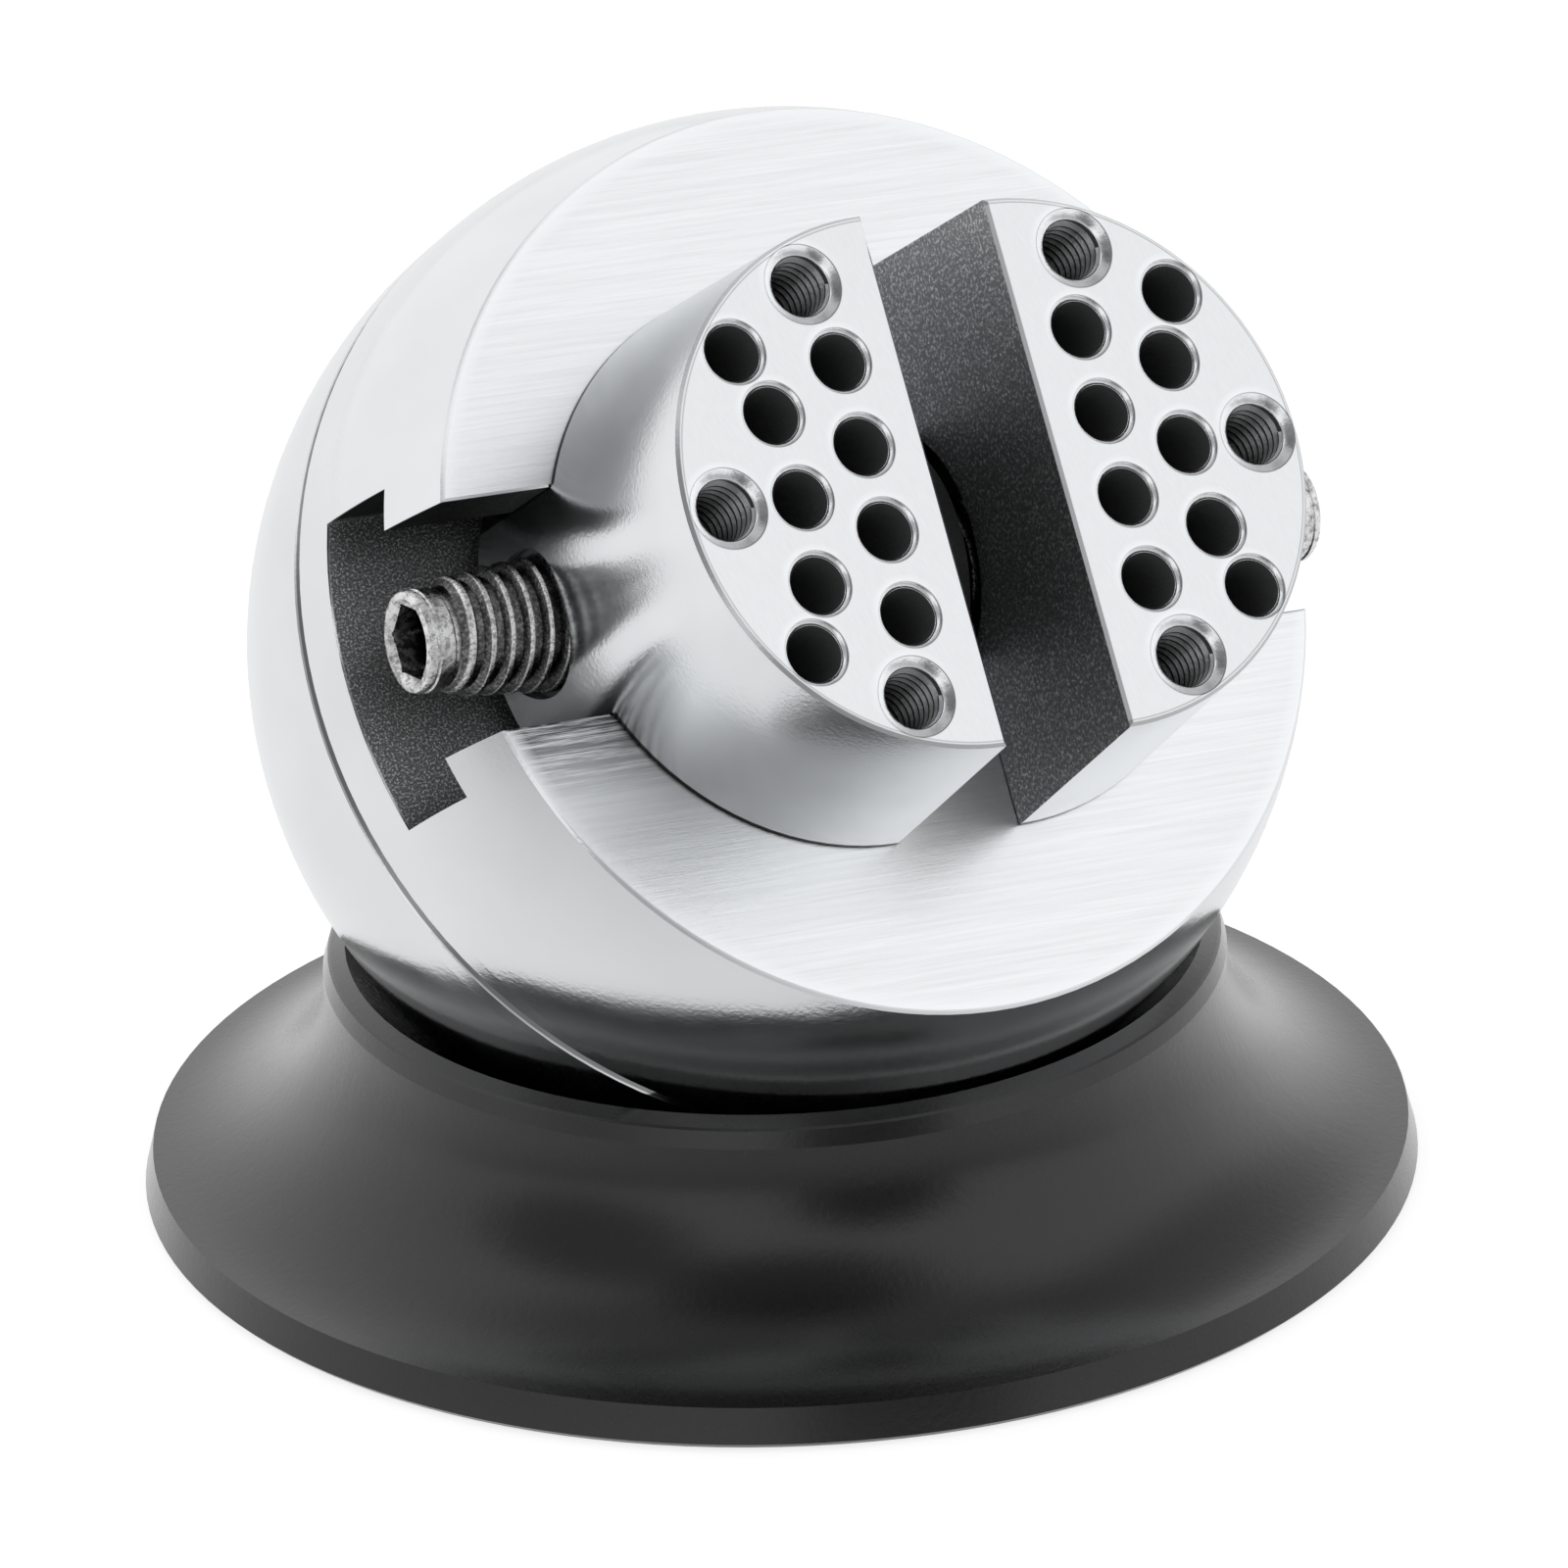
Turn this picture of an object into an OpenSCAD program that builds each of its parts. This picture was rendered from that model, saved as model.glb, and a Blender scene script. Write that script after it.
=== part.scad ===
// Ball vise: a turning upper ball half with a self-centring pair of pin jaws,
// carried on a bearing-mounted lower ball half that rolls in a ring base.
// All lengths are in millimetres. The base stands on Z = 0.

/* [Base ring] */
// radius of the ring at its widest, near the table
base_r = 47.6; // [44:0.1:58]
// height of the ring's rim band
rim_h = 3; // [2:0.5:5]
// how far the collar stands in from the ball's widest radius
collar_in = 4.4; // [3:0.1:5]
// how far the collar's top lies below the ball's centre
collar_drop = 23.6; // [23:0.1:26]
// radius of the open centre of the ring
base_bore_r = 18; // [12:0.5:19]

/* [Ball] */
// radius of both ball halves
ball_r = 38; // [36:0.5:46]
// room left under the ball
under_ball = 4; // [3:0.5:8]
// distance between the centres of the two halves
band_h = 4; // [3:0.5:6]
// width of the open joint between the halves
seam_gap = 0.3; // [0.2:0.1:0.6]
// height of the jaw flat above the lower half's centre
flat_h = 20.3; // [18:0.1:24]
// lean of the ball in its ring, in degrees
tilt = 52; // [0:1:54]
// turn of the upper half about its own axis, in degrees
turn = -7.1; // [-180:0.1:180]

/* [Jaw slot] */
// width of the slot's mouth
mouth_w = 17.2; // [14:0.1:20]
// width of the slot's undercut
under_w = 23.3; // [20:0.1:26]
// thickness of the lips over the undercut
lip_t = 5.7; // [4:0.1:7]
// height of the undercut
under_h = 7.3; // [5:0.1:8]

/* [Jaws] */
// height of a jaw above the flat
jaw_h = 19.1; // [14:0.1:26]
// jaw radius at the top face
jaw_r = 19.9; // [19.5:0.1:24]
// growth of the jaw radius per millimetre downwards
jaw_draft = 0.0745; // [0:0.005:0.12]
// opening between the grip faces
jaw_gap = 10.1; // [1:0.1:30]
// room between the yoke and the relief in each grip face
relief_gap = 0.45; // [0.3:0.05:0.8]

/* [Jaw holes] */
// hole grid pitch
pitch = 6.35; // [6:0.05:6.6]
// diameter of the plain pin holes
pin_d = 4.2; // [3:0.1:4.4]
// depth of the pin holes
pin_depth = 12.2; // [8:0.1:13]
// thread diameter of the tapped holes
tap_d = 5; // [3:0.5:5]
// distance from the grip face to the first row
row_off = 4.8; // [4.2:0.1:5.4]
// countersink radius growth on the pin holes
pin_chamfer = 0.35; // [0.2:0.05:0.5]
// countersink radius growth on the tapped holes
tap_chamfer = 0.5; // [0.3:0.05:0.6]

/* [Jaw screw] */
// thread diameter of the jaw screw
screw_d = 9.9; // [8:0.1:10.4]
// how far the screw's left end stands in from the ball's surface
left_in = 0.05; // [-1:0.05:3]
// how far its right end stands out past the ball's surface
right_out = 1.45; // [-3:0.05:1.5]
// height of the screw axis above the slot's floor
screw_rise = 8.1; // [8:0.1:9]
// diameter of the plain ends
end_d = 7.5; // [7:0.1:8]
// length of each plain end
end_len = 2.7; // [2:0.1:4]
// hexagon key size
hex_af = 5; // [4:0.5:5.5]
// depth of the hexagon sockets
hex_depth = 5; // [3:0.5:8]
// diameter of the neck held by the yoke
neck_d = 7; // [6:0.1:7.4]
// thickness of the yoke along the screw
yoke_t = 8.8; // [8:0.1:11]
// radius of the yoke round the screw
yoke_r = 9.4; // [8.8:0.1:10]

/* [Turret bearing] */
// ball diameter of the thrust bearing
thrust_ball_d = 5; // [4:0.5:5]
// number of thrust balls
thrust_count = 16; // [8:1:18]
// pitch radius of the thrust balls
thrust_r = 22; // [22:0.1:22.4]
// diameter of the pivot bolt
bolt_d = 5.96; // [5:0.02:6]
// ball diameter of the radial bearing
radial_ball_d = 3.4; // [3:0.1:3.5]
// number of radial balls
radial_count = 7; // [5:1:8]
// outer radius of the brake drum
drum_r = 14; // [12:0.5:14.5]

/* [Brake] */
// height of the brake screw below the lower half's centre
brake_z = 10; // [9.6:0.1:12]
// diameter of the brake screw
brake_d = 5; // [4:0.5:5]
// length of the brake plug
plug_len = 6; // [4:0.5:9]
// how far the brake screw lies inside the ball's surface
brake_in = 2.6; // [1:0.1:6]

/* [Hidden] */
$fn = 96;
slide_gap = 0.1;
run_gap = 0.05;
seat_gap = 0.2;
over = 1;
far = 80;

ball_h = ball_r + under_ball;
seam_lo = band_h / 2 - seam_gap / 2;
seam_hi = band_h / 2 + seam_gap / 2;
seam_chamfer = 0.35;
lip_h = flat_h - lip_t;
floor_h = lip_h - under_h;
jaw_bot = flat_h + slide_gap;
jaw_top = jaw_bot + jaw_h;
foot_bot = floor_h + slide_gap;
foot_top = lip_h - slide_gap;
edge = 0.25;
screw_h = floor_h + screw_rise;
screw_reach = sqrt(pow(ball_r, 2) - pow(screw_h - band_h, 2));
screw_left = screw_reach - left_in;
screw_right = screw_reach + right_out;
relief_r = yoke_r + relief_gap;
relief_d = yoke_t / 2 + relief_gap + 0.15;
yoke_bolt_y = 5.9;
yoke_head_r = 2.25;
yoke_head_h = 2.5;
yoke_seat = screw_h - yoke_head_h
    + sqrt(pow(yoke_r + 0.1, 2) - pow(yoke_bolt_y + yoke_head_r, 2));

collar_r = ball_r - collar_in;
collar_h = ball_h - collar_drop;
cove_r = min(base_r - collar_r, collar_h - rim_h - 1.4);
cove_z = rim_h + cove_r;
lip_in_r = collar_r - 1.8;
lip_in_z = collar_h + 0.6;
flare_r = ball_r + 4.6;
flare_z = 5.2;

washer_r1 = thrust_r - 4;
washer_r2 = thrust_r + 4;
washer_t = 2.5;
thrust_z = seam_hi - washer_t - 1.8 * thrust_ball_d / 5;
low_washer_top = thrust_z - 1.8 * thrust_ball_d / 5;
low_washer_bot = low_washer_top - washer_t;
drum_bot = -brake_z - brake_d / 2 - 0.1;
shelf_top = drum_bot - 0.4;
shelf_bot = shelf_top - 2.5;
bear_h = 6;
bear_ri = 3.05;
bear_ro = 9.5;
bear_rm = 6.25;
bear_bot = shelf_bot - bear_h;
disc_t = 0.45;
disc_cone = 0.2;
disc_count = 4;
disc_bot = bear_bot - disc_count * (disc_t + disc_cone);
washer_bot = disc_bot - 1;
head_bot = washer_bot - 6;
cap_top = head_bot - 0.9;
cap_r = 10.5;
stem_r = 4.98;
bolt_top = screw_h - neck_d / 2 - 0.5;
dowel_top = floor_h - 1.3;
dowel_bot = -4;
plug_end = drum_r + plug_len;
brake_len = sqrt(pow(ball_r, 2) - pow(brake_z, 2)) - brake_in - plug_end;

// ball frame: Z is the ball's own axis, from the lower half's centre
module in_ball() {
    translate([0, 0, ball_h]) rotate([tilt, 0, 0]) children();
}

// turret frame: X runs along the jaw slot
module in_turret() {
    in_ball() rotate([0, 0, turn]) children();
}

// lies along X, centred on the screw axis
module along_x(x, r, l) {
    translate([x, 0, screw_h]) rotate([0, 90, 0]) cylinder(r = r, h = l);
}

module tube(r1, r2, z1, z2) {
    difference() {
        translate([0, 0, z1]) cylinder(r = r2, h = z2 - z1);
        translate([0, 0, z1 - over]) cylinder(r = r1, h = z2 - z1 + 2 * over);
    }
}

module rubber_base() {
    color("dimgray") difference() {
        rotate_extrude() polygon([
            [base_bore_r, 0],
            [base_r - 0.4, 0],
            [base_r, 0.4],
            [base_r - 0.7, rim_h + 0.1],
            [base_r - 0.7, cove_z],
            [collar_r, cove_z],
            [collar_r - 0.4, collar_h - 0.15],
            [collar_r - 0.6, collar_h],
            [lip_in_r, lip_in_z],
            [base_bore_r, lip_in_z]
        ]);
        rotate_extrude() translate([collar_r + cove_r, cove_z]) circle(r = cove_r);
        tube(collar_r + cove_r, far, rim_h, cove_z + over);
        translate([0, 0, ball_h]) sphere(r = ball_r + seat_gap);
        translate([0, 0, ball_h + flare_z]) sphere(r = flare_r);
    }
}

// ring of triangular section that breaks an outer edge
module edge_ring(r, z, s, dir) {
    rotate_extrude() polygon([
        [r - s, z],
        [r + over, z],
        [r + over, z - dir * (s + over)]
    ]);
}

module lower_ball() {
    color("silver") in_ball() difference() {
        union() {
            intersection() {
                sphere(r = ball_r);
                translate([0, 0, -ball_r - over]) cylinder(r = ball_r + over, h = ball_r + over);
            }
            cylinder(r = ball_r, h = seam_lo);
        }
        edge_ring(ball_r, seam_lo, seam_chamfer, 1);
        translate([0, 0, low_washer_bot]) cylinder(r = washer_r2 + 0.1, h = far);
        translate([0, 0, shelf_top]) cylinder(r = drum_r + 0.6, h = far);
        translate([0, 0, shelf_bot - over]) cylinder(r = 7, h = far);
        translate([0, 0, -far]) cylinder(r = bear_ro + 0.02, h = far + shelf_bot);
        translate([0, 0, -far]) cylinder(r = cap_r + 0.03, h = far + cap_top);
        translate([0, drum_r - over, -brake_z]) rotate([-90, 0, 0])
            cylinder(d = brake_d + 2 * run_gap, h = far);
    }
}

module upper_ball() {
    color("lightgray") in_turret() difference() {
        union() {
            intersection() {
                translate([0, 0, band_h]) sphere(r = ball_r);
                translate([0, 0, band_h]) cylinder(r = ball_r + over, h = flat_h - band_h);
            }
            translate([0, 0, seam_hi]) cylinder(r = ball_r, h = band_h - seam_hi);
        }
        edge_ring(ball_r, seam_hi, seam_chamfer, -1);
        edge_ring(sqrt(pow(ball_r, 2) - pow(flat_h - band_h, 2)), flat_h, 0.15, 1);
        translate([-far, -mouth_w / 2, lip_h - over]) cube([2 * far, mouth_w, far]);
        translate([-far, -under_w / 2, floor_h]) cube([2 * far, under_w, under_h]);
        for (s = [-1, 1]) translate([0, s * mouth_w / 2, flat_h]) rotate([45, 0, 0])
            cube([2 * far, 0.25, 0.25], center = true);
        cylinder(r = stem_r + 0.02, h = far);
        for (s = [-1, 1]) translate([s * 10, 0, 0]) cylinder(d = 3, h = dowel_top);
    }
}

module jaw_outline() {
    cone_h = jaw_top - foot_bot;
    intersection() {
        translate([0, 0, foot_bot])
            cylinder(r1 = jaw_r + jaw_draft * cone_h, r2 = jaw_r, h = cone_h);
        translate([0, 0, jaw_top - 30])
            cylinder(r1 = jaw_r - edge + 30, r2 = jaw_r - edge, h = 30);
        translate([-far, -far / 2, 0]) cube([far, far, far]);
        union() {
            translate([-far, -far / 2, jaw_bot]) cube([far, far, far]);
            translate([-far, -mouth_w / 2 + slide_gap, foot_bot])
                cube([far, mouth_w - 2 * slide_gap, far]);
            translate([-far, -under_w / 2 + 1.5 * slide_gap, foot_bot])
                cube([far, under_w - 3 * slide_gap, foot_top - foot_bot]);
        }
    }
}

// one blind hole in the jaw's top face, at a distance from the grip face
module jaw_hole(x, y, r, c) {
    translate([-x, y, jaw_top - pin_depth]) cylinder(r = r, h = pin_depth + over);
    translate([-x, y, jaw_top - pin_depth - 0.5 * r])
        cylinder(r1 = 0.15, r2 = r, h = 0.5 * r + 0.001);
    translate([-x, y, jaw_top - c]) cylinder(r1 = r, r2 = r + c + over, h = c + over);
}

module jaw_holes() {
    pr = pin_d / 2;
    for (s = [-1.5, -0.5, 0.5, 1.5]) jaw_hole(row_off, s * pitch, pr, pin_chamfer);
    for (s = [-1, 1]) jaw_hole(row_off + pitch, s * pitch, pr, pin_chamfer);
    jaw_hole(row_off + 0.925 * pitch, 0, pr, pin_chamfer);
    for (s = [-1, 1]) jaw_hole(row_off + 1.27 * pitch, s * 1.765 * pitch, pr, pin_chamfer);
    for (s = [-1, 1])
        jaw_hole(row_off + 0.2 * pitch, s * 2.43 * pitch, tap_d / 2, tap_chamfer);
    jaw_hole(row_off + 1.86 * pitch, 0, tap_d / 2, tap_chamfer);
}

// left jaw with its grip face on X = 0
module jaw() {
    bore_end = jaw_r + jaw_draft * (jaw_top - screw_h);
    difference() {
        jaw_outline();
        along_x(-far, screw_d / 2 + run_gap, far + over);
        along_x(-far, screw_d / 2 + 0.5, far - bore_end + 1.4);
        along_x(-relief_d, relief_r, relief_d + over);
        translate([-relief_d, -under_w / 2, 0]) cube([relief_d + over, under_w, foot_top + slide_gap]);
        translate([0, -far / 2, jaw_top - edge]) rotate([0, -45, 0]) cube([over, far, over]);
        jaw_holes();
    }
}

module jaw_left() {
    color("whitesmoke") in_turret() translate([-jaw_gap / 2, 0, 0]) jaw();
}

module jaw_right() {
    color("whitesmoke") in_turret() translate([jaw_gap / 2, 0, 0]) mirror([1, 0, 0]) jaw();
}

// one threaded arm of the screw, from the yoke out to its end
module screw_arm(reach) {
    neck_half = yoke_t / 2 + slide_gap;
    thread_end = reach - end_len;
    difference() {
        union() {
            along_x(0, neck_d / 2, neck_half + over);
            along_x(neck_half, screw_d / 2, thread_end - neck_half - 1);
            translate([thread_end - 1, 0, screw_h]) rotate([0, 90, 0])
                cylinder(d1 = screw_d, d2 = end_d + 0.8, h = 1);
            along_x(thread_end - over, end_d / 2, end_len + over - 0.3);
            translate([reach - 0.3, 0, screw_h]) rotate([0, 90, 0])
                cylinder(d1 = end_d, d2 = end_d - 0.6, h = 0.3);
        }
        translate([reach - hex_depth, 0, screw_h]) rotate([0, 90, 0]) rotate([0, 0, 30])
            cylinder(d = hex_af / cos(30), h = hex_depth + over, $fn = 6);
    }
}

module lead_screw() {
    color("slategray") in_turret() {
        screw_arm(screw_right);
        mirror([1, 0, 0]) screw_arm(screw_left);
    }
}

// yoke block and cap share one outline, split on the screw axis
module yoke_outline(z1, z2) {
    intersection() {
        translate([-yoke_t / 2, -mouth_w / 2 + 2 * slide_gap, z1])
            cube([yoke_t, mouth_w - 4 * slide_gap, z2 - z1]);
        union() {
            along_x(-yoke_t, yoke_r, 2 * yoke_t);
            translate([-yoke_t, -mouth_w, 0]) cube([2 * yoke_t, 2 * mouth_w, screw_h]);
        }
    }
}

module yoke_bolt_holes(r_head) {
    for (s = [-1, 1]) translate([0, s * yoke_bolt_y, 0]) {
        translate([0, 0, screw_h - 6]) cylinder(r = 1.27, h = far);
        translate([0, 0, yoke_seat]) cylinder(r = r_head, h = far);
    }
}

module screw_yoke() {
    color("darkgray") in_turret() difference() {
        union() {
            yoke_outline(floor_h, screw_h);
            translate([0, 0, seam_hi]) cylinder(r = stem_r, h = floor_h - seam_hi + over);
        }
        along_x(-yoke_t, neck_d / 2 + run_gap, 2 * yoke_t);
        cylinder(d = bolt_d + 0.04, h = bolt_top + 0.1);
        yoke_bolt_holes(1.27);
    }
}

module yoke_cap() {
    color("gray") in_turret() difference() {
        yoke_outline(screw_h, screw_h + relief_r);
        along_x(-yoke_t, neck_d / 2 + run_gap, 2 * yoke_t);
        yoke_bolt_holes(yoke_head_r + run_gap);
    }
}

module yoke_screws() {
    color("black") in_turret() for (s = [-1, 1]) translate([0, s * yoke_bolt_y, 0]) difference() {
        union() {
            translate([0, 0, screw_h - 6]) cylinder(r = 1.25, h = yoke_seat - screw_h + 6 + over);
            translate([0, 0, yoke_seat]) cylinder(r = yoke_head_r, h = yoke_head_h);
        }
        translate([0, 0, yoke_seat + yoke_head_h - 1.5]) cylinder(d = 2 / cos(30), h = 2.5, $fn = 6);
    }
}

module pivot_bolt() {
    color("black") in_ball() rotate([0, 0, turn]) difference() {
        union() {
            translate([0, 0, head_bot + 1]) cylinder(d = bolt_d, h = bolt_top - head_bot - 1);
            translate([0, 0, head_bot]) cylinder(r = 5, h = 6);
        }
        translate([0, 0, head_bot - over]) cylinder(d = 5 / cos(30), h = 3 + over, $fn = 6);
    }
}

module brake_drum() {
    color("darkgray") in_turret() difference() {
        union() {
            translate([0, 0, drum_bot]) cylinder(r = drum_r, h = seam_hi - drum_bot);
            translate([0, 0, -0.2]) cylinder(r = washer_r1 - 0.05, h = seam_hi + 0.2);
        }
        translate([0, 0, -far / 2]) cylinder(r = bear_ri, h = far);
        for (s = [-1, 1]) translate([s * 10, 0, dowel_bot]) cylinder(d = 3, h = far);
    }
}

module drum_pins() {
    color("black") in_turret() for (s = [-1, 1])
        translate([s * 10, 0, dowel_bot + 0.1]) cylinder(d = 2.96, h = dowel_top - dowel_bot - 0.3);
}

module race_groove(r, z, d) {
    rotate_extrude() translate([r, z]) circle(d = d);
}

module thrust_washer_upper() {
    color("steelblue") in_turret() difference() {
        tube(washer_r1, washer_r2, seam_hi - washer_t, seam_hi);
        race_groove(thrust_r, thrust_z, thrust_ball_d + 0.2);
    }
}

module thrust_washer_lower() {
    color("steelblue") in_ball() difference() {
        tube(washer_r1, washer_r2, low_washer_bot, low_washer_top);
        race_groove(thrust_r, thrust_z, thrust_ball_d + 0.2);
    }
}

module thrust_cage() {
    color("gold") in_turret() difference() {
        tube(thrust_r - 3.4, thrust_r + 3.4, thrust_z - 0.8, thrust_z + 0.8);
        for (i = [0 : thrust_count - 1]) rotate([0, 0, i * 360 / thrust_count])
            translate([thrust_r, 0, thrust_z - over]) cylinder(d = thrust_ball_d + 0.2, h = 2 * over);
    }
}

module thrust_balls() {
    color("white") in_turret() for (i = [0 : thrust_count - 1])
        rotate([0, 0, i * 360 / thrust_count])
            translate([thrust_r, 0, thrust_z]) sphere(d = thrust_ball_d);
}

module bearing_inner_ring() {
    color("steelblue") in_turret() difference() {
        tube(bear_ri, 5.1, bear_bot, shelf_bot);
        race_groove(bear_rm, bear_bot + bear_h / 2, radial_ball_d + 0.16);
    }
}

module bearing_outer_ring() {
    color("steelblue") in_ball() difference() {
        tube(7.4, bear_ro, bear_bot, shelf_bot);
        race_groove(bear_rm, bear_bot + bear_h / 2, radial_ball_d + 0.16);
    }
}

// crown cage: a ring under the balls with a post between each two
module bearing_cage() {
    mid = bear_bot + bear_h / 2;
    ring_top = mid - radial_ball_d / 2 - 0.15;
    color("gold") in_turret() union() {
        tube(bear_rm - 0.9, bear_rm + 0.9, ring_top - 0.7, ring_top);
        for (i = [0 : radial_count - 1]) rotate([0, 0, (i + 0.5) * 360 / radial_count])
            translate([bear_rm, 0, ring_top - 0.3]) cylinder(r = 0.75, h = radial_ball_d);
    }
}

module bearing_balls() {
    color("white") in_turret() for (i = [0 : radial_count - 1])
        rotate([0, 0, i * 360 / radial_count])
            translate([bear_rm, 0, bear_bot + bear_h / 2]) sphere(d = radial_ball_d);
}

// alternating cone washers, rim to rim
module disc_springs() {
    step = disc_t + disc_cone;
    color("goldenrod") in_turret() for (i = [0 : disc_count - 1])
        translate([0, 0, disc_bot + i * step + (i % 2) * step])
            mirror([0, 0, i % 2]) rotate_extrude() polygon([
                [3.1, disc_cone],
                [6.2, 0],
                [6.2, disc_t],
                [3.1, disc_cone + disc_t]
            ]);
}

module bolt_washer() {
    color("gray") in_turret() tube(3.1, 6.2, washer_bot, disc_bot);
}

module bottom_cap() {
    color("darkgray") in_ball() difference() {
        intersection() {
            sphere(r = ball_r);
            translate([0, 0, -far]) cylinder(r = cap_r, h = far + cap_top);
        }
        for (s = [-1, 1]) translate([s * 6, 0, -far]) cylinder(d = 2.5, h = far + cap_top - 2);
    }
}

module brake_plug() {
    color("goldenrod") in_ball() translate([0, drum_r + run_gap, -brake_z]) rotate([-90, 0, 0])
        cylinder(d = brake_d - 0.1, h = plug_end - drum_r - run_gap);
}

module brake_screw() {
    color("black") in_ball() translate([0, plug_end, -brake_z]) rotate([-90, 0, 0]) difference() {
        cylinder(d = brake_d, h = brake_len);
        translate([0, 0, brake_len - 3]) cylinder(d = 2.5 / cos(30), h = 3 + over, $fn = 6);
    }
}

rubber_base();
lower_ball();
upper_ball();
jaw_left();
jaw_right();
lead_screw();
screw_yoke();
yoke_cap();
yoke_screws();
pivot_bolt();
brake_drum();
drum_pins();
thrust_washer_upper();
thrust_washer_lower();
thrust_cage();
thrust_balls();
bearing_inner_ring();
bearing_outer_ring();
bearing_cage();
bearing_balls();
disc_springs();
bolt_washer();
bottom_cap();
brake_plug();
brake_screw();
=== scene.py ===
import bpy
import math
from mathutils import Matrix, Vector


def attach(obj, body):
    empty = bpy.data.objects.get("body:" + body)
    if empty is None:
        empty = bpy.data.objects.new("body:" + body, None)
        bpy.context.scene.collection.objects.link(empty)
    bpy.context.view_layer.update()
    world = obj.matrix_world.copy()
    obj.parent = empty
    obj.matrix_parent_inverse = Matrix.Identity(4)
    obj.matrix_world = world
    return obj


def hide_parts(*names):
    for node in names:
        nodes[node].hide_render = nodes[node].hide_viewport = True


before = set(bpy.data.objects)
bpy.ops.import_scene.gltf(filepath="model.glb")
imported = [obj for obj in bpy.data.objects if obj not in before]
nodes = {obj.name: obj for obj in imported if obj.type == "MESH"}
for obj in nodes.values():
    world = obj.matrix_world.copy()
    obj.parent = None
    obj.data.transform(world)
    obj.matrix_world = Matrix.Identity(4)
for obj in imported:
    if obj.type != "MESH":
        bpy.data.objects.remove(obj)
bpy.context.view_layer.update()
print("frame loaded:", len(nodes), "nodes")

millimetre = 0.001

# sizes in millimetres: u runs along the jaw slot, v across it, w is the ball's own axis
ball = {"centre": (0.0, 0.0, 42.0), "lean": 52.0, "turn": -7.1, "radius": 38.0, "band": 4.0, "flat": 20.3,
        "seam": 2.0, "seamWidth": 0.42}

leanFrame = Matrix.Rotation(math.radians(ball["lean"]), 4, "X")
turnFrame = Matrix.Rotation(math.radians(ball["turn"]), 4, "Z")
turretFrame = Matrix.Translation(Vector(ball["centre"]) * millimetre) @ leanFrame @ turnFrame
axisU, axisV, axisW = (Vector(turretFrame.col[i][:3]) for i in range(3))
ballCentre = turretFrame.translation.copy()

# holes are (distance from the jaw's face, distance from the middle line), and each jaw has them on both sides of that line
jaws = {"gap": 10.1, "top": 39.5, "bottom": 20.4, "radius": 19.9, "draft": 0.0745,
        "pins": ((4.8, 3.175), (4.8, 9.525), (11.15, 6.35), (10.674, 0.0), (12.865, 11.208)), "pinBore": 2.10, "pinMouth": 0.35,
        "taps": ((6.07, 15.43), (16.611, 0.0)), "tapBore": 2.50, "tapMouth": 0.50}
slot = {"mouth": 17.2, "under": 23.3, "lip": 14.6, "floor": 7.3, "screwHeight": 15.4}


camera = {"place": (-454.39, -708.37, 413.95), "right": (0.833097, -0.552301, -0.030200),
          "up": (0.252097, 0.330534, 0.909502), "lens": 287.4176, "sensor": 36.0}


def addCamera():
    right, up = Vector(camera["right"]), Vector(camera["up"])
    back = right.cross(up)
    place = Vector(camera["place"]) * millimetre
    data = bpy.data.cameras.new("camera")
    data.lens, data.sensor_width = camera["lens"], camera["sensor"]
    data.clip_start, data.clip_end = 0.05, 20
    holder = bpy.data.objects.new("camera", data)
    holder.matrix_world = Matrix((
        (right.x, up.x, back.x, place.x),
        (right.y, up.y, back.y, place.y),
        (right.z, up.z, back.z, place.z),
        (0, 0, 0, 1)))
    bpy.context.scene.collection.objects.link(holder)
    bpy.context.scene.camera = holder


addCamera()
print("camera placed")


class Wire:
    # a shader socket that takes part in ordinary arithmetic
    def __init__(self, bench, socket):
        self.bench, self.socket = bench, socket

    def __add__(self, other):
        return self.bench.maths("ADD", self, other)

    def __radd__(self, other):
        return self.bench.maths("ADD", other, self)

    def __sub__(self, other):
        return self.bench.maths("SUBTRACT", self, other)

    def __rsub__(self, other):
        return self.bench.maths("SUBTRACT", other, self)

    def __mul__(self, other):
        return self.bench.maths("MULTIPLY", self, other)

    def __rmul__(self, other):
        return self.bench.maths("MULTIPLY", other, self)

    def __truediv__(self, other):
        return self.bench.maths("DIVIDE", self, other)

    def __abs__(self):
        return self.bench.maths("ABSOLUTE", self)

    def rise(self, low, high, curve="LINEAR"):
        # 0 below low, 1 above high
        return self.bench.node("ShaderNodeMapRange", {"clamp": True, "interpolation_type": curve},
                               {"Value": self, "From Min": low, "From Max": high, "To Min": 0.0, "To Max": 1.0})

    def fall(self, low, high):
        # 1 below low, 0 above high
        return self.bench.node("ShaderNodeMapRange", {"clamp": True},
                               {"Value": self, "From Min": low, "From Max": high, "To Min": 1.0, "To Max": 0.0})


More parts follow.
